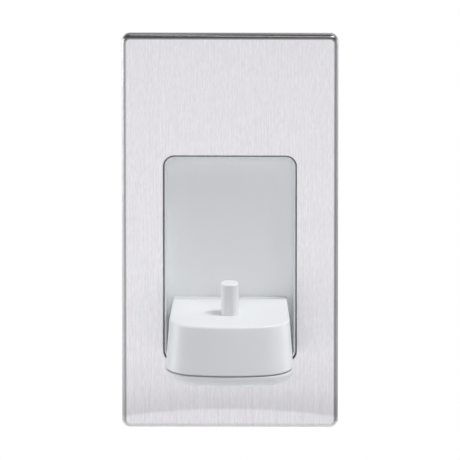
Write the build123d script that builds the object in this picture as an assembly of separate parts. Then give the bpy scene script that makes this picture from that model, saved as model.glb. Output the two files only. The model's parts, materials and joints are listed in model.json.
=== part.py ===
"""In-wall toothbrush charger: wall unit, pull-off front cover and plug-in charging pod.

Millimetres. +X right, +Y into the wall, +Z up. Y = 0 is the face of the wall, and the origin is
midway between the two box screws.
"""
from build123d import *
import os

# ---- Driving dimensions -------------------------------------------------------------------
GAP = 0.3                 # clearance between parts that slide past each other
SCREW_PITCH = 120.6       # two-gang wall box, hole to hole

# Front cover
COVER_WIDTH = 85.0
COVER_HEIGHT = 160.0
COVER_FRONT = -4.5
COVER_REAR = -0.4
COVER_SHEET = 0.8
COVER_CORNER = 3.3
COVER_EDGE = 1.5
OPENING_WIDTH = 52.4
OPENING_TOP = 31.1
OPENING_BOTTOM = -52.9
OPENING_CORNER = 4.3
OPENING_EDGE = 0.35
LINER_LIP = 0.15          # how far the liner shows inside the steel opening
LINER_REAR = -2.5
LINER_WIDTH = 82.0
LINER_HEIGHT = 157.0
LINER_CORNER = 2.5
DOWEL_X = 36.0
DOWEL_RADIUS = 1.5
DOWEL_REAR = -1.1

# Niche moulding
FLANGE_FRONT = -2.2
FLANGE_REAR = -0.7
FLANGE_WIDTH = LINER_WIDTH
FLANGE_HEIGHT = LINER_HEIGHT
WALL = 1.8
COLLAR_FRONT = -4.1       # the niche's rim, just behind the cover's face
COLLAR_GAP = 0.55         # the dark line around it
COLLAR_WALL = 0.6
NICHE_INSET = COLLAR_GAP + COLLAR_WALL
NICHE_BACK = 0.0          # visible face of the niche's back panel
BOX_HALF_WIDTH = 28.4
BOX_HALF_HEIGHT = 55.0
BOX_CORNER = 4.0
SEAT_Z = SCREW_PITCH / 2
SEAT_FLOOR = -1.2         # where the box screws' heads rest
SEAT_RADIUS = 4.5
SEAT_WALL = 1.0
BOX_SCREW_RADIUS = 1.72
BOX_SCREW_LENGTH = 25.0
GASKET_OUTSIDE = (79.0, 154.0, 3.0)     # width, height, corner
GASKET_INSIDE = (71.0, 146.0, 2.0)
MAGNET_PLACES = [(x, z) for x in (-34.5, 34.5) for z in (-70.0, 70.0)]
MAGNET_RADIUS = 4.0
MAGNET_THICKNESS = 1.0
MAGNET_REAR = FLANGE_FRONT + MAGNET_THICKNESS + 0.1

# Rear housing
HOUSING_FRONT = NICHE_BACK + WALL
HOUSING_REAR = HOUSING_FRONT + 23.2
CORNER_PLACES = [(x, z) for x in (-22.0, 22.0) for z in (-48.6, 48.6)]
CORNER_SCREW_RADIUS = 1.2
CORNER_HEAD_RADIUS = 2.7
CORNER_SPLIT = HOUSING_FRONT + 6.2    # where the niche's corner bosses meet the housing's columns
CORNER_SEAT = CORNER_SPLIT + 3.0      # where the housing screws' heads rest
BOSS_RADIUS = 4.2
COLUMN_RADIUS = 4.8
HOUSING_EDGE = 1.5
VENT_COUNT = 9
VENT_PITCH = 5.0
VENT_MIDDLE = 4.0
VENT_LENGTH = 24.0
VENT_WIDTH = 1.8
LABEL_WIDTH = 36.0        # a shallow recess for the rating label, left blank
LABEL_HEIGHT = 15.0
LABEL_CORNER = 1.5
LABEL_MIDDLE = -30.0
LABEL_DEPTH = 0.4

# Pod and dock
POD_TOP = -27.5
POD_SEAM = -46.4
SEAL_THICKNESS = 0.6
POD_BOTTOM = -51.4
POD_WALL = 2.0
DOCK_FRONT = NICHE_BACK - 2.6
POD_REAR = DOCK_FRONT - GAP
POD_FRONT = POD_REAR - 41.8
POD_SIDE_END = POD_FRONT + 4.6    # where the sides would meet the bowed front
POD_HALF_REAR = 22.4      # at the top; the walls lean out towards the foot
POD_HALF_FRONT = 23.85
POD_SIDE_DRAFT = 1.5
POD_FRONT_DRAFT = 3.6
POD_CORNER = 13.0
POD_EDGE = 1.0
SEAM_EDGE = 0.4           # rounding of the two edges beside the seam
BASE_EDGE = 3.6           # rounding under the tray
PEG_WIDTH = 6.8
PEG_DEPTH = 7.6
PEG_TOP = -15.0
PEG_Y = POD_REAR - 21.5
PEG_CORNER = 2.6
PEG_EDGE = 0.35
PEG_WALL = 1.0
POD_SCREW_RADIUS = 0.9
POD_SCREW_LENGTH = 8.0
POD_HEAD_RADIUS = 2.0
POD_HEAD_DEPTH = 1.0
POD_SCREW_PLACES = [(x, POD_REAR - y) for x in (-18.3, 18.3) for y in (29.9, 5.4)]
DOCK_TOP = POD_TOP
DOCK_BOTTOM = -51.0
DOCK_HALF_WIDTH = 22.3
DOCK_SCREW_X = 9.0
DOCK_SCREW_RADIUS = 1.1
DOCK_SCREW_LENGTH = 11.0
TONGUE_HALF_WIDTH = 13.0
TONGUE_TIP = POD_REAR - 17.9
TONGUE_Z = (-42.3, -36.2)
SLEEVE_WALL = 1.4         # the pod's sleeve around the tongue
CONTACT_Z = sum(TONGUE_Z) / 2
CONTACT_X = 4.0
PIN_RADIUS = 0.8
PIN_TIP = TONGUE_TIP - 6.0
SOCKET_RADIUS = 1.5
SOCKET_Y = (TONGUE_TIP - 9.0, TONGUE_TIP - 1.2)
POD_BOARD_TOP = POD_SEAM + 1.7
POD_BOARD_Y = (POD_REAR - 39.9, POD_REAR - 5.9)
COIL_FLOOR = -34.4
COIL_TOP = -29.7
COIL_RADIUS = 9.6
COIL_HUB_RADIUS = 4.8
COIL_CHEEK = 0.6

# Circuit boards
BOARD = 1.6
BOARD_FRONT = HOUSING_FRONT + 2.2
BOARD_REAR = BOARD_FRONT + BOARD
BOARD_HALF_WIDTH = 26.0
BOARD_HALF_HEIGHT = 52.0
SOLDER = 1.2              # what a pin or lead stands out behind the board
STANDOFF_RADIUS = 2.8
STANDOFF_FLOOR = 0.8
BOARD_SCREW_RADIUS = 1.0
BOARD_SCREW_PLACES = [(x, z) for x in (-21.5, 21.5) for z in (-34.0, 28.0)]
TERMINAL_X = 4.5
TERMINAL_Z = (-52.0, -42.5)
TERMINAL_REAR = BOARD_REAR + 12.4
WIRE_Y = BOARD_REAR + 4.4
WIRE_RADIUS = 1.9
CLAMP_Y = (WIRE_Y - 2.6, WIRE_Y + 3.4)
CLAMP_Z = (-49.5, -44.0)
CLAMP_HALF = 2.7
CLAMP_SCREW_Z = sum(CLAMP_Z) / 2
CLAMP_SCREW_RADIUS = 1.5
CLAMP_HEAD_RADIUS = 2.1
CLAMP_ACCESS_RADIUS = 3.0
CABLE_WAY_HALF = 10.5
CABLE_WAY_Y = (WIRE_Y - 4.0, WIRE_Y + 9.5)
FUSE_X = (-18.0, -2.0)
FUSE_Z = -29.0
FUSE_Y = BOARD_REAR + 4.0
FUSE_RADIUS = 2.3
FUSE_CAP = 2.5
CHOKE = (12.0, -13.0)
CHOKE_Y = (BOARD_REAR + 1.5, BOARD_REAR + 6.5)
CHOKE_RADII = (3.6, 7.0)
TRANSFORMER = (11.0, 10.0)
CORE_Y = (BOARD_REAR + 5.0, BOARD_REAR + 10.0)
LEG_HALF = 2.2
LEG_REACH = 5.6
TUBE_HALF = LEG_HALF + 0.7
TUBE_Y = (CORE_Y[0] - 0.7, CORE_Y[1] + 0.7)


# ---- Shape helpers ------------------------------------------------------------------------
def block(x, y, z):
    """A rectangular block between (low, high) pairs."""
    spans = (x, y, z)
    centre = [(low + high) / 2 for low, high in spans]
    return Pos(*centre) * Box(*[high - low for low, high in spans])


def rod_y(x, z, radius, y):
    """A round bar along Y between the pair y."""
    return Pos(x, sum(y) / 2, z) * Rot(90, 0, 0) * Cylinder(radius, y[1] - y[0])


def rod_x(y, z, radius, x):
    """A round bar along X between the pair x."""
    return Pos(sum(x) / 2, y, z) * Rot(0, 90, 0) * Cylinder(radius, x[1] - x[0])


def rod_z(x, y, radius, z):
    """A round bar along Z between the pair z."""
    return Pos(x, y, sum(z) / 2) * Cylinder(radius, z[1] - z[0])


def panel(width, height, corner, y, middle=0.0):
    """A round-cornered plate parallel to the wall, between the pair y, its middle at z = middle."""
    outline = Pos(0, y[1], middle) * (Plane.XZ * RectangleRounded(width, height, corner))
    return extrude(outline, amount=y[1] - y[0])


def window(inset, y):
    """The cover's opening as a solid, made smaller all round by inset."""
    height = OPENING_TOP - OPENING_BOTTOM - 2 * inset
    return panel(OPENING_WIDTH - 2 * inset, height, OPENING_CORNER - inset, y,
                 (OPENING_TOP + OPENING_BOTTOM) / 2)


def screw(head_radius, head, shank_radius, shank, neck=0.0):
    """A pan-head screw along Z: the head above z = 0, the shank below, with a cross recess.

    The first stretch of the shank, as long as neck, is thinner than its thread.
    """
    body = rod_z(0, 0, head_radius, (0, head))
    body = fillet(body.edges().group_by(Axis.Z)[-1], head * 0.45)
    for angle in (0, 90):
        arm = Rot(0, 0, angle) * Box(head_radius * 1.1, head_radius * 0.25, head)
        body -= Pos(0, 0, head) * arm
    if neck:
        body += rod_z(0, 0, shank_radius * 0.88, (-neck, 0))
    tip = Pos(0, 0, -shank + shank_radius / 2) * Cone(shank_radius * 0.35, shank_radius, shank_radius)
    return body + rod_z(0, 0, shank_radius, (shank_radius - shank, -neck)) + tip


def towards_rear(x, z, y):
    """Places a screw that is driven from the rear, its head towards +Y."""
    return Pos(x, y, z) * Rot(-90, 0, 0)


# ---- Front cover --------------------------------------------------------------------------
def faceplate():
    """A folded steel pan with a round-cornered opening."""
    pan = panel(COVER_WIDTH, COVER_HEIGHT, COVER_CORNER, (COVER_FRONT, COVER_REAR))
    pan = fillet(pan.faces().sort_by(Axis.Y)[0].edges(), COVER_EDGE)
    hollow = panel(COVER_WIDTH - 2 * COVER_SHEET, COVER_HEIGHT - 2 * COVER_SHEET,
                   COVER_CORNER - COVER_SHEET, (COVER_FRONT + COVER_SHEET, COVER_REAR))
    hollow = fillet(hollow.faces().sort_by(Axis.Y)[0].edges(), COVER_EDGE - COVER_SHEET)
    pan = pan - hollow - window(0, (COVER_FRONT - 1, COVER_REAR))
    front = pan.faces().sort_by(Axis.Y)[0]
    return fillet(front.inner_wires()[0].edges(), OPENING_EDGE)


def faceplate_liner():
    """A black frame bonded inside the pan, with two dowels that place it on the niche."""
    span = (COVER_FRONT + COVER_SHEET, LINER_REAR)
    frame = panel(LINER_WIDTH, LINER_HEIGHT, LINER_CORNER, span)
    frame -= window(LINER_LIP, span)
    for z in (-SEAT_Z, SEAT_Z):
        frame -= rod_y(0, z, SEAT_RADIUS + SEAT_WALL, span)
    for x, z in MAGNET_PLACES:
        frame -= rod_y(x, z, MAGNET_RADIUS + 0.5, span)
    for x in (-DOWEL_X, DOWEL_X):
        frame += rod_y(x, 0, DOWEL_RADIUS, (LINER_REAR, DOWEL_REAR))
    return frame


# ---- Wall unit ----------------------------------------------------------------------------
def niche_body():
    """The white moulding: flange, niche with its rim and the front of the electronics box."""
    body = panel(FLANGE_WIDTH, FLANGE_HEIGHT, LINER_CORNER, (FLANGE_FRONT, FLANGE_REAR))
    body += panel(2 * BOX_HALF_WIDTH, 2 * BOX_HALF_HEIGHT, BOX_CORNER, (FLANGE_FRONT, HOUSING_FRONT))
    body += window(COLLAR_GAP, (COLLAR_FRONT, FLANGE_FRONT))
    body -= window(NICHE_INSET, (COLLAR_FRONT, NICHE_BACK))
    half_inside = BOX_HALF_WIDTH - WALL
    body -= block((-half_inside, half_inside), (FLANGE_REAR, HOUSING_FRONT),
                  (OPENING_TOP + WALL, BOX_HALF_HEIGHT - WALL))
    for x, z in CORNER_PLACES:
        foot = FLANGE_REAR if z > OPENING_TOP else NICHE_BACK
        body += rod_y(x, z, BOSS_RADIUS, (foot, CORNER_SPLIT))
        body -= rod_y(x, z, CORNER_SCREW_RADIUS, (HOUSING_FRONT, CORNER_SPLIT))
    for x, z in BOARD_SCREW_PLACES:
        body += rod_y(x, z, STANDOFF_RADIUS, (HOUSING_FRONT, BOARD_FRONT))
        body -= rod_y(x, z, BOARD_SCREW_RADIUS, (NICHE_BACK + STANDOFF_FLOOR, BOARD_FRONT))
    for z in (-SEAT_Z, SEAT_Z):
        body += rod_y(0, z, SEAT_RADIUS + SEAT_WALL, (FLANGE_FRONT, 0))
        body -= rod_y(0, z, SEAT_RADIUS, (FLANGE_FRONT, SEAT_FLOOR))
        body -= rod_y(0, z, BOX_SCREW_RADIUS + 0.38, (SEAT_FLOOR, 0))
    for x, z in MAGNET_PLACES:
        body -= rod_y(x, z, MAGNET_RADIUS, (FLANGE_FRONT, MAGNET_REAR))
    for x in (-DOWEL_X, DOWEL_X):
        body -= rod_y(x, 0, DOWEL_RADIUS + 0.1, (FLANGE_FRONT, FLANGE_REAR))
    for x in (-DOCK_SCREW_X, DOCK_SCREW_X):
        body -= rod_y(x, CONTACT_Z, DOCK_SCREW_RADIUS + 0.3, (NICHE_BACK, HOUSING_FRONT))
    for x in (-CONTACT_X, CONTACT_X):
        body -= rod_y(x, CONTACT_Z, PIN_RADIUS, (NICHE_BACK, HOUSING_FRONT))
    return body


def wall_gasket():
    """A foam ring that seals the flange to the wall, around the box screws."""
    return panel(*GASKET_OUTSIDE, (FLANGE_REAR, 0)) - panel(*GASKET_INSIDE, (FLANGE_REAR, 0))


def fixing_screws():
    """The two M3.5 screws that hold the unit to the wall box."""
    one = Rot(90, 0, 0) * screw(3.4, 1.8, BOX_SCREW_RADIUS, BOX_SCREW_LENGTH, neck=-SEAT_FLOOR)
    return [Pos(0, SEAT_FLOOR, z) * one for z in (-SEAT_Z, SEAT_Z)]


def plate_magnets():
    """Four discs that hold the steel cover."""
    span = (MAGNET_REAR - MAGNET_THICKNESS, MAGNET_REAR)
    return [rod_y(x, z, MAGNET_RADIUS, span) for x, z in MAGNET_PLACES]


def rear_housing():
    """The tub that closes the electronics box from the rear."""
    width, height = 2 * BOX_HALF_WIDTH, 2 * BOX_HALF_HEIGHT
    tub = panel(width, height, BOX_CORNER, (HOUSING_FRONT, HOUSING_REAR))
    tub = fillet(tub.faces().sort_by(Axis.Y)[-1].edges(), HOUSING_EDGE)
    tub -= panel(width - 2 * WALL, height - 2 * WALL, BOX_CORNER - WALL,
                 (HOUSING_FRONT, HOUSING_REAR - WALL))
    for x, z in CORNER_PLACES:
        tub += rod_y(x, z, COLUMN_RADIUS, (CORNER_SPLIT, HOUSING_REAR - 0.8))
        tub -= rod_y(x, z, CORNER_SCREW_RADIUS + 0.4, (CORNER_SPLIT, CORNER_SEAT))
        tub -= rod_y(x, z, CORNER_HEAD_RADIUS + 0.3, (CORNER_SEAT, HOUSING_REAR))
    tub -= block((-CABLE_WAY_HALF, CABLE_WAY_HALF), CABLE_WAY_Y, (-BOX_HALF_HEIGHT, WALL - BOX_HALF_HEIGHT))
    for x in (-TERMINAL_X, TERMINAL_X):
        tub -= rod_y(x, CLAMP_SCREW_Z, CLAMP_ACCESS_RADIUS, (HOUSING_REAR - WALL, HOUSING_REAR))
    for row in range(VENT_COUNT):
        z = (row - (VENT_COUNT - 1) / 2) * VENT_PITCH + VENT_MIDDLE
        slot = Pos(0, HOUSING_REAR, z) * (Plane.XZ * SlotOverall(VENT_LENGTH, VENT_WIDTH))
        tub -= extrude(slot, amount=WALL)
    return tub - panel(LABEL_WIDTH, LABEL_HEIGHT, LABEL_CORNER,
                       (HOUSING_REAR - LABEL_DEPTH, HOUSING_REAR), LABEL_MIDDLE)


def housing_screws():
    """Four self-tapping screws at the bottom of the housing's corner columns."""
    one = screw(CORNER_HEAD_RADIUS, 1.9, CORNER_SCREW_RADIUS, 8.0)
    return [towards_rear(x, z, CORNER_SEAT) * one for x, z in CORNER_PLACES]


def pod_dock():
    """The bracket on the niche's back panel: a plate and the tongue that carries the pod."""
    middle = (DOCK_TOP + DOCK_BOTTOM) / 2
    dock = panel(2 * DOCK_HALF_WIDTH, DOCK_TOP - DOCK_BOTTOM, 0.8, (DOCK_FRONT, NICHE_BACK), middle)
    tongue = block((-TONGUE_HALF_WIDTH, TONGUE_HALF_WIDTH), (TONGUE_TIP, DOCK_FRONT), TONGUE_Z)
    dock += chamfer(tongue.faces().sort_by(Axis.Y)[0].edges(), 0.6)
    for x in (-CONTACT_X, CONTACT_X):
        dock -= rod_y(x, CONTACT_Z, PIN_RADIUS, (TONGUE_TIP, NICHE_BACK))
    pilot_end = HOUSING_FRONT - DOCK_SCREW_LENGTH - 0.8
    for x in (-DOCK_SCREW_X, DOCK_SCREW_X):
        dock -= rod_y(x, CONTACT_Z, DOCK_SCREW_RADIUS, (pilot_end, NICHE_BACK))
    return dock


def dock_screws():
    """Two screws from behind the back panel into the dock's tongue."""
    one = screw(2.4, 1.6, DOCK_SCREW_RADIUS, DOCK_SCREW_LENGTH)
    return [towards_rear(x, CONTACT_Z, HOUSING_FRONT) * one for x in (-DOCK_SCREW_X, DOCK_SCREW_X)]


def dock_pins():
    """Two brass pins from the mains board through the tongue to the pod."""
    pins = []
    for x in (-CONTACT_X, CONTACT_X):
        pin = rod_y(x, CONTACT_Z, PIN_RADIUS, (PIN_TIP, BOARD_REAR + SOLDER))
        pins.append(chamfer(pin.edges().group_by(Axis.Y)[0], 0.3))
    return pins


# ---- Mains electronics --------------------------------------------------------------------
def psu_board():
    """The mains board, with notches for the corner bosses."""
    span = (BOARD_FRONT, BOARD_REAR)
    board = block((-BOARD_HALF_WIDTH, BOARD_HALF_WIDTH), span, (-BOARD_HALF_HEIGHT, BOARD_HALF_HEIGHT))
    for x, z in CORNER_PLACES:
        board -= rod_y(x, z, BOSS_RADIUS + 0.5, span)
        board -= block(sorted((x, 1.3 * x)), span, sorted((z, 1.2 * z)))
    for x, z in BOARD_SCREW_PLACES:
        board -= rod_y(x, z, BOARD_SCREW_RADIUS + 0.4, span)
    for x in (-CONTACT_X, CONTACT_X):
        board -= rod_y(x, CONTACT_Z, PIN_RADIUS, span)
    return board


def board_screws():
    """Four screws that hold the mains board to its stand-offs."""
    one = screw(2.2, 1.5, BOARD_SCREW_RADIUS, 4.6)
    return [towards_rear(x, z, BOARD_REAR) * one for x, z in BOARD_SCREW_PLACES]


def on_board(x, z, width, height, depth):
    """A block-shaped component that stands on the mains board."""
    return block((x - width / 2, x + width / 2), (BOARD_REAR, BOARD_REAR + depth),
                 (z - height / 2, z + height / 2))


def terminal_block():
    """A two-pole terminal block whose wire holes face down."""
    body = block((-9.5, 9.5), (BOARD_REAR, TERMINAL_REAR), TERMINAL_Z)
    body = chamfer(body.edges().filter_by(Axis.X).group_by(Axis.Y)[-1], 1.5)
    for x in (-TERMINAL_X, TERMINAL_X):
        body -= rod_z(x, WIRE_Y, WIRE_RADIUS, (TERMINAL_Z[0], CLAMP_Z[0]))
        body -= block((x - CLAMP_HALF, x + CLAMP_HALF), CLAMP_Y, CLAMP_Z)
        body -= rod_y(x, CLAMP_SCREW_Z, CLAMP_HEAD_RADIUS + 0.1, (CLAMP_Y[1], TERMINAL_REAR))
    return body


def terminal_clamps():
    """The brass cages that grip the two supply wires."""
    cages = []
    for x in (-TERMINAL_X, TERMINAL_X):
        cage = block((x - CLAMP_HALF, x + CLAMP_HALF), CLAMP_Y, CLAMP_Z)
        cage -= rod_z(x, WIRE_Y, WIRE_RADIUS, CLAMP_Z)
        cages.append(cage - rod_y(x, CLAMP_SCREW_Z, CLAMP_SCREW_RADIUS, (WIRE_Y, CLAMP_Y[1])))
    return cages


def terminal_screws():
    """The clamps' screws, reached through the holes in the rear housing."""
    one = screw(CLAMP_HEAD_RADIUS, 1.4, CLAMP_SCREW_RADIUS, 2.4)
    return [towards_rear(x, CLAMP_SCREW_Z, CLAMP_Y[1] + 1.0) * one for x in (-TERMINAL_X, TERMINAL_X)]


def fuse():
    """A glass tube fuse, lying along X."""
    return rod_x(FUSE_Y, FUSE_Z, FUSE_RADIUS, FUSE_X)


def fuse_clips():
    """The fuse's end caps in their clips."""
    clips = []
    for end in ((FUSE_X[0] - FUSE_CAP, FUSE_X[0]), (FUSE_X[1], FUSE_X[1] + FUSE_CAP)):
        foot = block(end, (BOARD_REAR, FUSE_Y), (FUSE_Z - 1.0, FUSE_Z + 1.0))
        clips.append(rod_x(FUSE_Y, FUSE_Z, FUSE_RADIUS + 0.3, end) + foot)
    return clips


def disc_component(x, z, radius, thickness):
    """A disc-shaped component that stands on two leads."""
    y = BOARD_REAR + radius + 1.5
    disc = rod_x(y, z, radius, (x - thickness / 2, x + thickness / 2))
    disc = fillet(disc.edges(), thickness * 0.3)
    for lead_z in (z - 2.5, z + 2.5):
        disc += rod_y(x, lead_z, 0.35, (BOARD_REAR, y))
    return disc


def varistor():
    """The disc that absorbs surges."""
    return disc_component(5.0, -29.0, 4.5, 3.6)


def safety_capacitor():
    """The disc capacitor across the isolation gap."""
    return disc_component(-1.0, 10.0, 3.5, 3.0)


def filter_capacitor():
    """The box-shaped capacitor across the mains."""
    return fillet(on_board(-14.0, -15.0, 18.0, 8.0, 14.0).edges().group_by(Axis.Y)[-1], 0.6)


def choke_core():
    """The ring core of the mains filter, lying on the board."""
    inner, outer = CHOKE_RADII
    return rod_y(*CHOKE, outer, CHOKE_Y) - rod_y(*CHOKE, inner, CHOKE_Y)


def choke_windings():
    """Two copper windings around the ring core."""
    x, z = CHOKE
    inner, outer = CHOKE_RADII
    wire = 1.0
    span = (CHOKE_Y[0] - wire, CHOKE_Y[1] + wire)
    sleeve = rod_y(x, z, outer + wire, span) - rod_y(x, z, inner - wire, span)
    sleeve -= rod_y(x, z, outer, CHOKE_Y) - rod_y(x, z, inner, CHOKE_Y)
    halves = []
    for side in (-1, 1):
        reach = sorted((x + side * 1.6, x + side * (outer + 2 * wire)))
        halves.append(sleeve & block(reach, span, (z - 5.0, z + 5.0)))
    return halves


def bridge_rectifier():
    """The four-diode bridge."""
    x, z = -20.0, -3.0
    body = chamfer(on_board(x, z, 6.5, 8.5, 2.6).edges().group_by(Axis.Y)[-1], 0.5)
    for lead_z in (z - 3.0, z + 3.0):
        body += on_board(x, lead_z, 9.2, 1.2, 0.5)
    return body


def can_capacitor(x, z, radius, height):
    """A round electrolytic capacitor, standing on the board."""
    can = rod_y(x, z, radius, (BOARD_REAR, BOARD_REAR + height))
    can = fillet(can.edges().group_by(Axis.Y)[-1], 0.6)
    groove = (BOARD_REAR + 1.8, BOARD_REAR + 2.5)
    return can - (rod_y(x, z, radius, groove) - rod_y(x, z, radius - 0.4, groove))


def bulk_capacitor():
    """The mains reservoir capacitor."""
    return can_capacitor(-14.0, 11.0, 6.3, 16.0)


def output_capacitor():
    """The capacitor of the pod's supply."""
    return can_capacitor(3.0, 40.0, 4.0, 12.0)


def transformer_core():
    """The E cores: a yoke at each end, two side legs and the middle leg."""
    x, z = TRANSFORMER
    core = block((x - 8.5, x + 8.5), CORE_Y, (z - 8.0, z + 8.0))
    for side in (-1, 1):
        room = sorted((x + side * LEG_HALF, x + side * 6.3))
        core -= block(room, CORE_Y, (z - LEG_REACH, z + LEG_REACH))
    return core


def transformer_bobbin():
    """The bobbin around the middle leg, with its pin rails on the board."""
    x, z = TRANSFORMER
    leg = block((x - LEG_HALF, x + LEG_HALF), CORE_Y, (z - LEG_REACH, z + LEG_REACH))
    bobbin = block((x - TUBE_HALF, x + TUBE_HALF), TUBE_Y, (z - LEG_REACH, z + LEG_REACH))
    cheek_y = (BOARD_REAR + 1.0, BOARD_REAR + 13.0)
    rail_y = (BOARD_REAR, BOARD_REAR + 4.8)
    for side in (-1, 1):
        cheek, rail, rail_end = z + side * LEG_REACH, z + side * 8.1, z + side * 10.5
        inner_face = cheek - side * 0.8
        bobbin += block((x - 6.2, x + 6.2), cheek_y, sorted((cheek, inner_face)))
        bobbin += block((x - 7.0, x + 7.0), rail_y, sorted((rail, rail_end)))
        bobbin += block((x - 6.2, x + 6.2), (cheek_y[0], rail_y[1]), sorted((cheek, rail)))
    return bobbin - leg


def transformer_winding():
    """The taped winding on the bobbin."""
    x, z = TRANSFORMER
    span = (z - LEG_REACH + 0.8, z + LEG_REACH - 0.8)
    coil = block((x - 6.0, x + 6.0), (BOARD_REAR + 1.3, BOARD_REAR + 12.8), span)
    coil = fillet(coil.edges().filter_by(Axis.Z), 2.0)
    return coil - block((x - TUBE_HALF, x + TUBE_HALF), TUBE_Y, span)


def leaded_chip(x, z, width, height, pairs):
    """A surface-mounted chip with a row of leads on each side."""
    chip = block((x - width / 2, x + width / 2), (BOARD_REAR + 0.1, BOARD_REAR + 1.8),
                 (z - height / 2, z + height / 2))
    chip = chamfer(chip.edges().group_by(Axis.Y)[-1], 0.3)
    for row in range(pairs):
        lead_z = z + (row - (pairs - 1) / 2) * 1.27
        chip += on_board(x, lead_z, width + 2.0, 0.4, 0.4)
    return chip


def control_chips():
    """The mains switching controller and its secondary-side partner."""
    return [leaded_chip(x, z, 3.9, 5.0, 4) for x, z in ((-6.0, 22.0), (-12.0, 28.0))]


def optocoupler():
    """The isolated feedback path."""
    return leaded_chip(-1.0, 28.0, 4.6, 4.4, 2)


def output_diode():
    """The rectifier of the pod's supply."""
    return on_board(10.0, 28.0, 5.0, 3.0, 2.2)


def output_inductor():
    """A drum inductor for the pod's supply."""
    x, z = 12.0, 43.0
    low, high, rim = BOARD_REAR, BOARD_REAR + 8.0, 1.5
    drum = rod_y(x, z, 3.0, (low, high))
    for span in ((low, low + rim), (high - rim, high)):
        drum += rod_y(x, z, 4.2, span)
    return drum


def resistors():
    """Chip resistors in two short rows."""
    return [on_board(-20.5 + 5.0 * place, 36.0 + 4.0 * row, 3.2, 1.6, 0.6)
            for row in range(2) for place in range(4)]


# ---- Charging pod -------------------------------------------------------------------------
def pod_outline(z, side=0.0, front=0.0):
    """The pod's plan at height z: sides that widen forwards and a bowed front."""
    half_rear, half_front = POD_HALF_REAR + side, POD_HALF_FRONT + side
    side_end = POD_SIDE_END - front
    with BuildSketch(Plane.XY.offset(z)) as sketch:
        with BuildLine():
            Polyline((-half_front, side_end), (-half_rear, POD_REAR), (half_rear, POD_REAR),
                     (half_front, side_end))
            ThreePointArc((half_front, side_end), (0, POD_FRONT - front), (-half_front, side_end))
        make_face()
        fillet(sketch.vertices().group_by(Axis.Y)[0], POD_CORNER)
    return sketch.sketch


def pod_foot(z):
    """The pod's plan at the seam, where it is widest."""
    return pod_outline(z, POD_SIDE_DRAFT, POD_FRONT_DRAFT)


def inside(outline, wall):
    """The outline moved inwards by the wall's thickness."""
    return offset(outline, amount=-wall, kind=Kind.INTERSECTION)


def round_over(solid, face, radius):
    """Rounds the lowest (0) or highest (-1) face's edges, apart from the one against the dock."""
    edges = solid.faces().sort_by(Axis.Z)[face].edges().sort_by(Axis.Y)
    return fillet(edges[:-1], radius)


def peg_column(wall, z):
    """The oblong peg, made smaller all round by wall, between the pair z."""
    outline = RectangleRounded(PEG_WIDTH - 2 * wall, PEG_DEPTH - 2 * wall, PEG_CORNER - wall)
    return extrude(Pos(0, PEG_Y, z[0]) * outline, amount=z[1] - z[0])


def pod_shell():
    """The white shell with the hollow peg, the screw bosses and the sleeve for the tongue."""
    foot, top = pod_foot(POD_SEAM), pod_outline(POD_TOP)
    shell = round_over(loft([foot, top], ruled=True), -1, POD_EDGE)
    shell = round_over(shell, 0, SEAM_EDGE)
    peg = peg_column(0, (POD_TOP, PEG_TOP))
    peg = fillet(peg.faces().sort_by(Axis.Z)[-1].edges(), PEG_EDGE)
    ceiling = POD_TOP - POD_WALL
    hollow = loft([inside(foot, POD_WALL),
                   Pos(0, 0, ceiling - POD_TOP) * inside(top, POD_WALL)], ruled=True)
    sleeve_x = TONGUE_HALF_WIDTH + GAP
    sleeve_z = (TONGUE_Z[0] - GAP, TONGUE_Z[1] + GAP)
    sleeve_end = TONGUE_TIP - 2 * GAP
    sleeve = block((-sleeve_x - SLEEVE_WALL, sleeve_x + SLEEVE_WALL), (sleeve_end, POD_REAR - 0.5),
                   (sleeve_z[0] - SLEEVE_WALL, sleeve_z[1] + SLEEVE_WALL))
    shell = shell - hollow + peg + sleeve
    shell -= block((-sleeve_x, sleeve_x), (sleeve_end, POD_REAR), sleeve_z)
    boss_foot = POD_BOTTOM + WALL + 0.4
    for x, y in POD_SCREW_PLACES:
        shell += rod_z(x, y, 2.6, (boss_foot, ceiling))
        shell -= rod_z(x, y, POD_SCREW_RADIUS, (boss_foot, POD_BOTTOM + POD_SCREW_LENGTH + 2.0))
    return shell - peg_column(PEG_WALL, (ceiling, PEG_TOP - PEG_WALL))


def pod_gasket():
    """The dark seal in the seam between shell and base."""
    outline = inside(pod_foot(POD_SEAM), 0.5)
    return extrude(outline, amount=-SEAL_THICKNESS) - extrude(inside(outline, 1.3), amount=-SEAL_THICKNESS)


def pod_base():
    """The tray that closes the pod from below, with the screws' recesses."""
    rim = POD_SEAM - SEAL_THICKNESS
    outline = pod_foot(rim)
    tray = extrude(outline, amount=POD_BOTTOM - rim)
    tray = round_over(round_over(tray, 0, BASE_EDGE), -1, SEAM_EDGE)
    floor = POD_BOTTOM + WALL
    tray -= extrude(Pos(0, 0, floor - rim) * inside(outline, WALL), amount=rim - floor)
    for x, y in POD_SCREW_PLACES:
        tray -= rod_z(x, y, POD_SCREW_RADIUS + 0.3, (POD_BOTTOM, floor))
        tray -= rod_z(x, y, POD_HEAD_RADIUS + 0.2, (POD_BOTTOM, POD_BOTTOM + POD_HEAD_DEPTH))
    return tray


def pod_screws():
    """Four self-tapping screws up through the base."""
    one = Rot(180, 0, 0) * screw(POD_HEAD_RADIUS, 0.9, POD_SCREW_RADIUS, POD_SCREW_LENGTH)
    return [Pos(x, y, POD_BOTTOM + POD_HEAD_DEPTH) * one for x, y in POD_SCREW_PLACES]


def coil_core():
    """The ferrite: a round foot under the coil and an oblong post up into the peg."""
    post = peg_column(PEG_WALL + 0.2, (COIL_FLOOR + 1.0, PEG_TOP - PEG_WALL - 0.6))
    return post + rod_z(0, PEG_Y, COIL_RADIUS + 0.4, (COIL_FLOOR, COIL_FLOOR + 1.0))


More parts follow.
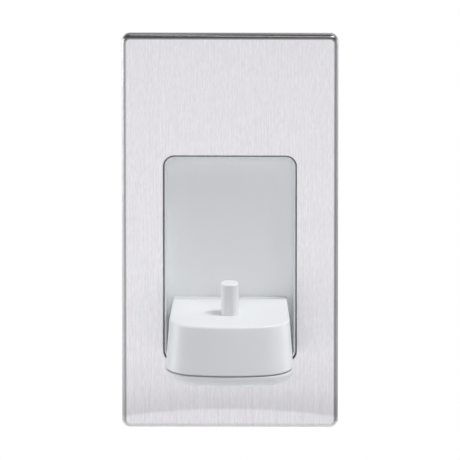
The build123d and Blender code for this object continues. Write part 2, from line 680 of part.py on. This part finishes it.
def coil_bobbin():
    """The bobbin around the ferrite post."""
    floor = COIL_FLOOR + 1.0
    hub = rod_z(0, PEG_Y, COIL_HUB_RADIUS, (floor, COIL_TOP))
    for low in (floor, COIL_TOP - COIL_CHEEK):
        hub += rod_z(0, PEG_Y, COIL_RADIUS + 0.4, (low, low + COIL_CHEEK))
    return hub - peg_column(PEG_WALL + 0.2, (floor, COIL_TOP))


def coil_winding():
    """The copper winding."""
    span = (COIL_FLOOR + 1.0 + COIL_CHEEK, COIL_TOP - COIL_CHEEK)
    return rod_z(0, PEG_Y, COIL_RADIUS, span) - rod_z(0, PEG_Y, COIL_HUB_RADIUS, span)


def pod_board():
    """The pod's circuit board, above the tray."""
    return block((-14.0, 14.0), POD_BOARD_Y, (POD_BOARD_TOP - BOARD, POD_BOARD_TOP))


def drive_chips():
    """The coil driver and its transistors."""
    chips = []
    y, z = (POD_BOARD_Y[0] + 2.0, POD_BOARD_Y[0] + 6.0), (POD_BOARD_TOP, POD_BOARD_TOP + 1.4)
    for x, width in ((-8.0, 4.0), (0.0, 5.0), (8.0, 4.0)):
        chip = block((x - width / 2, x + width / 2), y, z)
        chips.append(chamfer(chip.edges().group_by(Axis.Z)[-1], 0.3))
    return chips


def pod_capacitors():
    """The smoothing and resonance capacitors."""
    cans = []
    for x in (-9.0, 9.0):
        can = rod_z(x, POD_BOARD_Y[0] + 10.0, 2.5, (POD_BOARD_TOP, POD_BOARD_TOP + 7.0))
        cans.append(fillet(can.edges().group_by(Axis.Z)[-1], 0.4))
    return cans


def socket_block():
    """The block that holds the pod's two contacts in line with the dock's pins."""
    body = block((-8.0, 8.0), SOCKET_Y, (POD_BOARD_TOP, CONTACT_Z + 3.0))
    for x in (-CONTACT_X, CONTACT_X):
        body -= rod_y(x, CONTACT_Z, SOCKET_RADIUS, SOCKET_Y)
    return body


def socket_contacts():
    """Two brass sleeves that the pins slide into."""
    bore = (SOCKET_Y[0] + 1.0, SOCKET_Y[1])
    sleeves = []
    for x in (-CONTACT_X, CONTACT_X):
        sleeve = rod_y(x, CONTACT_Z, SOCKET_RADIUS, SOCKET_Y)
        sleeves.append(sleeve - rod_y(x, CONTACT_Z, PIN_RADIUS + 0.05, bore))
    return sleeves


# ---- Nodes --------------------------------------------------------------------------------
FRONT_COVER = [faceplate, faceplate_liner]
WALL_UNIT = [
    niche_body, wall_gasket, fixing_screws, plate_magnets, rear_housing, housing_screws,
    pod_dock, dock_screws, dock_pins, psu_board, board_screws,
    terminal_block, terminal_clamps, terminal_screws, fuse, fuse_clips, varistor, safety_capacitor,
    filter_capacitor, choke_core, choke_windings, bridge_rectifier, bulk_capacitor,
    transformer_core, transformer_bobbin, transformer_winding, control_chips, optocoupler,
    output_diode, output_capacitor, output_inductor, resistors]
CHARGING_POD = [
    pod_shell, pod_gasket, pod_base, pod_screws, coil_core, coil_bobbin, coil_winding,
    pod_board, drive_chips, pod_capacitors, socket_block, socket_contacts]

os.makedirs("parts", exist_ok=True)
for make in FRONT_COVER + WALL_UNIT + CHARGING_POD:
    made = make()
    shape = Compound(children=made) if isinstance(made, list) else made
    export_step(shape, f"parts/{make.__name__}.step")
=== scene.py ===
"""Looks, lights and camera for the in-wall toothbrush charger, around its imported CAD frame."""
import json
from functools import partial
from math import cos, pi, radians, sin

import bpy
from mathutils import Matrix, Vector

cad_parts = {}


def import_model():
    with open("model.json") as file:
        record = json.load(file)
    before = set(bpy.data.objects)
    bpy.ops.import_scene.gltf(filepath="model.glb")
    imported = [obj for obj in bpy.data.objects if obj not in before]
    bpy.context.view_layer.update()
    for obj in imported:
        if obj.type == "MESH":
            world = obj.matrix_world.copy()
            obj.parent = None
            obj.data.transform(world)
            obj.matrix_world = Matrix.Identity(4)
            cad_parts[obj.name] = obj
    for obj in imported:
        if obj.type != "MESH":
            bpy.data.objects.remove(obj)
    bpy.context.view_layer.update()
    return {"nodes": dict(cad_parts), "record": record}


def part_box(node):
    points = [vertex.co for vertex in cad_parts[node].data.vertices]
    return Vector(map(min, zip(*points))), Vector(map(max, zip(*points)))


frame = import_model()

MM = 0.001
MICRON = 0.001 * MM

# ---- Camera and floor, in metres ----------------------------------------------------------
VIEW_AZIMUTH = radians(0.4)
VIEW_ELEVATION = radians(15.5)
VIEW_WIDTH = 180.8 * MM      # what the picture spans at the cover's face
LENS_MM = 1200.0
SENSOR_MM = 36.0
AIM_ABOVE_ORIGIN = 0.9 * MM
CLIP_START = 0.1
CLIP_END = 60.0
FLOOR_DROP = 0.22            # below the cover's lowest point
FLOOR_RADIUS = 0.45
FLOOR_STEPS = 96

# ---- The room: its light on matt surfaces, and what polished surfaces see of it ------------
# A reach is where the room changes, as the X or Z of a direction of length 1.
AMBIENT_COLOUR = (0.97, 0.98, 1.0)
AMBIENT_ABOVE = 0.36
AMBIENT_BELOW = 0.57
AMBIENT_REACH = (-0.5, 0.1)
ROOM_FRONT = 0.63            # straight ahead of the cover, behind the front card
ROOM_LEAN = 0.2              # how much brighter it is at the far left, and dimmer at the far right
ROOM_SIDES = 0.70            # to the left and right, as a share of the front
ROOM_SIDES_REACH = (0.45, 0.85)
ROOM_OVERHEAD = 0.25         # as a share of the front
ROOM_OVERHEAD_REACH = (-0.02, 0.32)
SOFTBOXES = (                # name, place, width and height, power, and what else it needs
    ("key", (0.55, -0.14, 1.30), (0.40, 0.40), 12.9, {}),
    ("face", (0.10, -1.30, 0.55), (0.90, 0.50), 2.9, {"polished": False}),
    ("left_fill", (-1.20, 0.14, 0.15), (0.60, 0.80), 6.1, {}),
    ("right_fill", (1.20, 0.40, 0.15), (0.60, 0.80), 3.3, {}),
    ("card", (-0.12, -0.75, -0.20), (1.20, 0.28), 0.60, {"matt": False, "target": (0, 0, -0.20)}))

# ---- The cover's steel, with painted shade, highlights and reflection on its fold and foot ---
STEEL_DARK = (0.790, 0.760, 0.815)
STEEL_LIGHT = (0.895, 0.895, 0.905)
STREAKS = (2600.0, 2600.0, 38.0)         # long brush marks, as noise cells per metre along X, Y and Z
DASHES = (3000.0, 3000.0, 420.0)         # short ones
DASH_SHADES = ((0.30, 0.90), (0.70, 1.06))
COVER_CORNER = 3.3 * MM
FOLD_PAINT_WIDTH = 2.0 * MM                    # the band of painted shade and highlight: the rounded folded edge and a little of the face
# Painted reflection on the folded edge: darker stops for the dim room it would mirror, lighter ones for
# painted highlights. Shades run from the face to the outer edge, as (position, shade).
FOLD_SIDES_PAINTED = ((0.00, 0.95), (0.05, 1.00), (0.18, 0.70), (0.27, 0.42), (0.45, 0.40), (0.56, 0.66),
              (0.68, 0.96))
FOLD_TOP_PAINTED = ((0.00, 0.95), (0.03, 1.10), (0.10, 0.72), (0.18, 0.46), (0.50, 0.44), (0.96, 0.24),
            (1.00, 1.15))
FOLD_FOOT_PAINTED = ((0.00, 0.95), (0.30, 0.84))
ARC_RADIUS = 290 * MM                    # the shallow arc across the foot, where the painted reflection band starts
ARC_TOP = -72.9 * MM
ARC_FADE = 24 * MM
ARC_PAINTED_REFLECTION = ((0.00, 1.00), (0.05, 0.83), (0.20, 0.86), (0.45, 0.95), (1.00, 1.00))    # painted reflection, going up


# ---- Node trees ----------------------------------------------------------------------------
class Graph:
    """A node tree under construction. Inputs take numbers, tuples or other nodes' outputs."""

    def __init__(self, tree):
        self.tree = tree

    def feed(self, socket, value):
        """Links an input to a node's output, or sets it."""
        if isinstance(value, bpy.types.NodeSocket):
            self.tree.links.new(value, socket)
        else:
            socket.default_value = value

    def add(self, kind, inputs=None, **settings):
        """A new node's outputs."""
        node = self.tree.nodes.new("ShaderNode" + kind)
        for setting, value in settings.items():
            setattr(node, setting, value)
        for socket, value in (inputs or {}).items():
            self.feed(node.inputs[socket], value)
        return node.outputs

    def maths(self, operation, first, second=0.0):
        return self.add("Math", {0: first, 1: second}, operation=operation)["Value"]

    def spread(self, value, low, high, start=0.25, end=0.75, change="LINEAR"):
        """A number between low and high, as the value goes from start to end."""
        ends = {"Value": value, "From Min": start, "From Max": end, "To Min": low, "To Max": high}
        return self.add("MapRange", ends, interpolation_type=change)["Result"]

    def mix_shaders(self, factor, first, second):
        return self.add("MixShader", {"Fac": factor, 1: first, 2: second})["Shader"]


class Finish(Graph):
    """A material under construction, painted in the piece's own coordinates."""

    def __init__(self, name, **sockets):
        self.material = bpy.data.materials.new(name)
        self.material.use_nodes = True
        super().__init__(self.material.node_tree)
        self.shader = self.tree.nodes["Principled BSDF"]
        for socket, value in sockets.items():
            self.shader.inputs[socket.replace("_", " ")].default_value = value
        self.place = self.add("TexCoord")["Object"]

    def mapped(self, scale=(1.0, 1.0, 1.0), shift=(0.0, 0.0, 0.0), turn=(0.0, 0.0, 0.0)):
        """The piece's coordinates scaled, turned and then moved."""
        inputs = {"Vector": self.place, "Scale": scale, "Rotation": turn, "Location": shift}
        return self.add("Mapping", inputs)["Vector"]

    def noise(self, scale, detail=2.0, rough=0.5, vector=None):
        inputs = {"Vector": vector or self.place, "Scale": scale, "Detail": detail, "Roughness": rough}
        return self.add("TexNoise", inputs)["Fac"]

    def length(self, vector):
        return self.add("VectorMath", {0: vector}, operation="LENGTH")["Value"]

    def mix(self, first, second, factor=1.0, blend="MIX"):
        """Two colours mixed, by a factor or in full."""
        inputs = {"Factor": factor, "A": first, "B": second}
        return self.add("Mix", inputs, data_type="RGBA", blend_type=blend)["Result"]

    def colours(self, value, stops):
        """A value turned into a colour through (position, colour) stops."""
        colour = self.add("ValToRGB", {"Fac": value})["Color"]
        elements = colour.node.color_ramp.elements
        while len(elements) < len(stops):
            elements.new(0.5)
        for element, (position, shade) in zip(elements, stops):
            element.position = position
            element.color = (*shade, 1.0)
        return colour

    def greys(self, value, start, end, shades):
        """A value turned into a grey through (position, shade) stops between start and end."""
        across = self.spread(value, 0.0, 1.0, start, end)
        return self.colours(across, [(position, (shade, shade, shade)) for position, shade in shades])

    def colour(self, value):
        self.feed(self.shader.inputs["Base Color"], value)

    def tint(self, value, colour, change):
        """The colour, darker and lighter by change as the value runs from low to high."""
        dark = [c * (1 - change) for c in colour]
        light = [min(1.0, c * (1 + change)) for c in colour]
        self.colour(self.colours(value, [(0.3, dark), (0.7, light)]))

    def roughness(self, value, low, high):
        self.feed(self.shader.inputs["Roughness"], self.spread(value, low, high))

    def bump(self, value, height):
        """Relief of the given height in metres."""
        raised = self.add("Bump", {"Distance": height, "Height": value})["Normal"]
        self.feed(self.shader.inputs["Normal"], raised)


# ---- Materials -----------------------------------------------------------------------------
def fold_painted_light(m):
    """Painted shade and highlights on the cover's folded edge, standing in for its reflections, by the
    distance to its rounded outline.
    """
    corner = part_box("faceplate")[1]
    axes = m.add("SeparateXYZ", {"Vector": m.place})
    outwards = {}
    for axis, edge in (("X", corner.x), ("Z", corner.z)):
        beyond = m.maths("SUBTRACT", m.maths("ABSOLUTE", axes[axis]), edge - COVER_CORNER)
        outwards[axis] = m.maths("MAXIMUM", beyond)
    reach = m.length(m.add("CombineXYZ", outwards)["Vector"])
    sides, top, foot = (m.greys(reach, COVER_CORNER - FOLD_PAINT_WIDTH, COVER_CORNER, shades)
                        for shades in (FOLD_SIDES_PAINTED, FOLD_TOP_PAINTED, FOLD_FOOT_PAINTED))
    ends = m.mix(foot, top, m.maths("GREATER_THAN", axes["Z"]))
    return m.mix(sides, ends, m.maths("DIVIDE", outwards["Z"], reach))


def foot_painted_reflection(m):
    """A painted reflection: a darker band above the cover's foot, set off from the foot by a shallow arc."""
    from_centre = m.length(m.mapped(scale=(1.0, 0.0, 1.0), shift=(0.0, 0.0, ARC_RADIUS - ARC_TOP)))
    return m.greys(from_centre, ARC_RADIUS, ARC_RADIUS + ARC_FADE, ARC_PAINTED_REFLECTION)


def brushed_sheet(name):
    """Stainless sheet whose fine upright brushing spreads its reflections sideways."""
    m = Finish(name, Metallic=1.0, Anisotropic=0.65)
    streaks = m.noise(1.0, 4.0, rough=0.65, vector=m.mapped(scale=STREAKS))
    dashes = m.noise(1.0, 3.0, rough=0.7, vector=m.mapped(scale=DASHES))
    colour = m.colours(streaks, [(0.30, STEEL_DARK), (0.70, STEEL_LIGHT)])
    # The brush dashes are the sheet's own tone; the fold and foot layers are painted shade, highlights and
    # reflection.
    for shade in (m.greys(dashes, 0.0, 1.0, DASH_SHADES), fold_painted_light(m), foot_painted_reflection(m)):
        colour = m.mix(colour, shade, blend="MULTIPLY")
    m.colour(colour)
    m.roughness(streaks, 0.30, 0.42)
    m.bump(streaks, 6 * MICRON)
    m.feed(m.shader.inputs["Tangent"], m.add("Tangent", direction_type="RADIAL", axis="Z")["Tangent"])
    return m.material


def moulded(name, colour, rough, grain=2200.0, relief=4 * MICRON, change=0.012, **sockets):
    """A moulded plastic: faint flow marks in its colour and a fine surface grain."""
    m = Finish(name, **sockets)
    m.tint(m.noise(38.0, 3.0), colour, change)
    fine = m.noise(grain)
    m.roughness(fine, rough - 0.05, rough + 0.05)
    m.bump(fine, relief)
    return m.material


def metal(name, colour, rough):
    """A plated or drawn metal with small scratches and uneven gloss."""
    m = Finish(name, Metallic=1.0)
    scratches = m.noise(900.0, 5.0, rough=0.7)
    m.tint(scratches, colour, 0.06)
    m.roughness(scratches, rough - 0.07, rough + 0.1)
    m.bump(scratches, 8 * MICRON)
    return m.material


def wound(name, colour, turns_scale):
    """Enamelled wire laid side by side, one turn above the other, with painted shade in the grooves between
    turns.
    """
    m = Finish(name, Metallic=0.85, Coat_Weight=0.6, Coat_Roughness=0.15)
    inputs = {"Vector": m.place, "Scale": turns_scale, "Distortion": 0.4}
    turns = m.add("TexWave", inputs, bands_direction="Z")["Fac"]
    # The dark stop is painted shade in the grooves between the turns.
    dark = [c * 0.35 for c in colour]
    m.colour(m.colours(turns, [(0.05, dark), (0.6, colour)]))
    m.roughness(m.noise(700.0), 0.25, 0.4)
    m.bump(turns, 80 * MICRON)
    return m.material


def solder_mask(name):
    """A circuit board: dark green mask, lighter along its tracks."""
    m = Finish(name, Coat_Weight=0.4, Coat_Roughness=0.2)
    tracks = m.add("TexBrick", {
        "Vector": m.mapped(turn=(radians(90), 0, 0)), "Scale": 42.0, "Mortar Size": 0.018,
        "Color1": (0.020, 0.175, 0.070, 1), "Color2": (0.026, 0.210, 0.085, 1),
        "Mortar": (0.060, 0.330, 0.150, 1)}, offset=0.37, squash=0.6)
    m.colour(tracks["Color"])
    m.roughness(m.noise(1500.0), 0.35, 0.5)
    m.bump(tracks["Fac"], 30 * MICRON)
    return m.material


def fired(name, colour):
    """Sintered ferrite: dark, dull and faintly speckled."""
    m = Finish(name)
    m.tint(m.noise(1600.0, 4.0, rough=0.8), colour, 0.25)
    m.roughness(m.noise(400.0), 0.45, 0.7)
    m.bump(m.noise(2400.0), 20 * MICRON)
    return m.material


def foam(name, colour):
    """Closed-cell foam, darker in each cell's hollow: painted shade in the pits."""
    m = Finish(name)
    cells = m.add("TexVoronoi", {"Vector": m.place, "Scale": 2300.0})["Distance"]
    # Darker towards each cell's middle, where the bump sinks: painted shade in the hollows.
    m.tint(cells, colour, 0.3)
    m.roughness(cells, 0.75, 0.95)
    m.bump(cells, 80 * MICRON)
    return m.material


def tube_glass(name):
    """The fuse's clear tube, with a faint smoky film inside."""
    m = Finish(name, Transmission_Weight=1.0, IOR=1.47)
    m.tint(m.noise(500.0), (0.86, 0.90, 0.88), 0.04)
    m.roughness(m.noise(900.0), 0.02, 0.08)
    return m.material


TRANSLUCENT = {"Subsurface_Weight": 0.4, "Subsurface_Radius": (1.0, 1.0, 1.0), "Subsurface_Scale": 2 * MM}
MATERIALS = {                # by the record's material slots
    "brushed_steel": brushed_sheet,
    # Near black, so the liner's lip in the thin gap around the opening stands in for that gap's shadow:
    # painted shade.
    "black_liner": partial(moulded, colour=(0.060, 0.060, 0.064), rough=0.55, relief=10 * MICRON),
    "white_gloss": partial(moulded, colour=(0.79, 0.805, 0.82), rough=0.36, **TRANSLUCENT),
    "white_niche": partial(moulded, colour=(0.93, 0.95, 0.97), rough=0.5, **TRANSLUCENT),
    "grey_housing": partial(moulded, colour=(0.52, 0.53, 0.53), rough=0.6, grain=1300.0, relief=30 * MICRON),
    "seal_foam": partial(foam, colour=(0.030, 0.030, 0.033)),
    "seal_rubber": partial(moulded, colour=(0.31, 0.315, 0.32), rough=0.7, relief=10 * MICRON),
    "zinc_steel": partial(metal, colour=(0.62, 0.62, 0.60), rough=0.32),
    "nickel": partial(metal, colour=(0.68, 0.66, 0.62), rough=0.2),
    "brass": partial(metal, colour=(0.78, 0.56, 0.24), rough=0.25),
    "copper": partial(wound, colour=(0.72, 0.28, 0.12), turns_scale=900.0),
    "board_green": solder_mask,
    "black_component": partial(moulded, colour=(0.020, 0.020, 0.022), rough=0.5, relief=20 * MICRON,
                               change=0.15),
    "terminal_green": partial(moulded, colour=(0.020, 0.160, 0.055), rough=0.35, change=0.06),
    "ferrite": partial(fired, colour=(0.035, 0.034, 0.036)),
    "clear_glass": tube_glass,
    "varistor_blue": partial(moulded, colour=(0.015, 0.050, 0.240), rough=0.25, grain=500.0,
                             relief=60 * MICRON, change=0.1, Coat_Weight=0.5),
    "capacitor_yellow": partial(moulded, colour=(0.62, 0.40, 0.025), rough=0.3, change=0.05),
    "can_sleeve": partial(moulded, colour=(0.014, 0.018, 0.050), rough=0.22, grain=300.0,
                          relief=20 * MICRON, change=0.1, Coat_Weight=0.5),
    "tape_yellow": partial(moulded, colour=(0.62, 0.42, 0.05), rough=0.4, grain=260.0,
                           relief=50 * MICRON, change=0.06),
    "bobbin_black": partial(moulded, colour=(0.028, 0.028, 0.028), rough=0.5, relief=20 * MICRON,
                            change=0.12),
}


def finish_nodes():
    """Gives every CAD node the material of its slot."""
    made = {slot: make(slot + "_look") for slot, make in MATERIALS.items()}
    for part in frame["record"]["subparts"]:
        node = frame["nodes"][part["node"]]
        node.data.materials.clear()
        node.data.materials.append(made[part["material_slot"]])


# ---- Studio --------------------------------------------------------------------------------
def add_object(name, data):
    """A new object in the scene."""
    obj = bpy.data.objects.new(name, data)
    bpy.context.scene.collection.objects.link(obj)
    return obj


def aim(obj, target):
    """Turns a light or camera towards a point."""
    obj.rotation_mode = "QUATERNION"
    obj.rotation_quaternion = (Vector(target) - obj.location).to_track_quat("-Z", "Y")


def softbox(name, place, size, power, matt=True, polished=True, target=(0, 0, 0)):
    """A rectangular soft light on matt surfaces, polished ones or both."""
    light = bpy.data.lights.new(name, "AREA")
    light.shape = "RECTANGLE"
    light.size, light.size_y = size
    light.energy = power
    obj = add_object(name, light)
    obj.location = place
    obj.visible_camera = False
    obj.visible_diffuse = matt
    obj.visible_glossy = polished
    aim(obj, target)


def world():
    """A white backdrop, a grey ambient light, and for reflections a room that is bright in front,
    dimmer at the sides and dark overhead."""
    scene = bpy.context.scene
    scene.world = bpy.data.worlds.new("studio")
    scene.world.use_nodes = True
    sky = Graph(scene.world.node_tree)
    axes = sky.add("SeparateXYZ", {"Vector": sky.add("TexCoord")["Generated"]})
    rays = sky.add("LightPath")

    def background(strength, colour=(1, 1, 1)):
        return sky.add("Background", {"Color": (*colour, 1), "Strength": strength})["Background"]

    def falloff(value, low, high, reach):
        return sky.spread(value, low, high, *reach, change="SMOOTHSTEP")

    overhead = falloff(axes["Z"], 1.0, ROOM_OVERHEAD, ROOM_OVERHEAD_REACH)
    sideways = falloff(sky.maths("ABSOLUTE", axes["X"]), 1.0, ROOM_SIDES, ROOM_SIDES_REACH)
    across = falloff(axes["X"], ROOM_FRONT * (1 + ROOM_LEAN), ROOM_FRONT * (1 - ROOM_LEAN), (-1.0, 1.0))
    reflected = background(sky.maths("MULTIPLY", sky.maths("MINIMUM", overhead, sideways), across))
    ambient = background(falloff(axes["Z"], AMBIENT_BELOW, AMBIENT_ABOVE, AMBIENT_REACH), AMBIENT_COLOUR)
    lit = sky.mix_shaders(rays["Is Glossy Ray"], ambient, reflected)
    seen = sky.mix_shaders(rays["Is Camera Ray"], lit, background(1.0))
    sky.feed(sky.tree.nodes["World Output"].inputs["Surface"], seen)


def floor_paper():
    """Plain pale paper that is clear from below."""
    m = Finish("floor_paper", Roughness=0.9)
    m.tint(m.noise(3.0), (0.93, 0.93, 0.93), 0.01)
    below = m.add("NewGeometry")["Backfacing"]
    paper = m.mix_shaders(below, m.shader.outputs["BSDF"], m.add("BsdfTransparent")["BSDF"])
    m.feed(m.tree.nodes["Material Output"].inputs["Surface"], paper)
    return m.material


def floor(level):
    """A plain pale round floor."""
    turns = [2 * pi * i / FLOOR_STEPS for i in range(FLOOR_STEPS)]
    mesh = bpy.data.meshes.new("floor")
    mesh.from_pydata([(FLOOR_RADIUS * cos(turn), FLOOR_RADIUS * sin(turn), level) for turn in turns], [],
                     [tuple(range(FLOOR_STEPS))])
    mesh.materials.append(floor_paper())
    add_object("floor", mesh)


def camera():
    """A long lens, level across and tilted down, aimed at the middle of the cover."""
    data = bpy.data.cameras.new("camera")
    data.lens = LENS_MM
    data.sensor_width = SENSOR_MM
    data.clip_start = CLIP_START
    data.clip_end = CLIP_END
    obj = add_object("camera", data)
    distance = VIEW_WIDTH * LENS_MM / SENSOR_MM
    back = Vector((sin(VIEW_AZIMUTH) * cos(VIEW_ELEVATION), -cos(VIEW_AZIMUTH) * cos(VIEW_ELEVATION),
                   sin(VIEW_ELEVATION)))
    target = Vector((0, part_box("faceplate")[0].y, AIM_ABOVE_ORIGIN))
    obj.location = target + back * distance
    aim(obj, target)
    bpy.context.scene.camera = obj


bpy.context.scene.view_settings.view_transform = "Standard"
camera()
finish_nodes()
world()
floor(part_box("faceplate")[0].z - FLOOR_DROP)
for name, place, size, power, options in SOFTBOXES:
    softbox(name, place, size, power, **options)
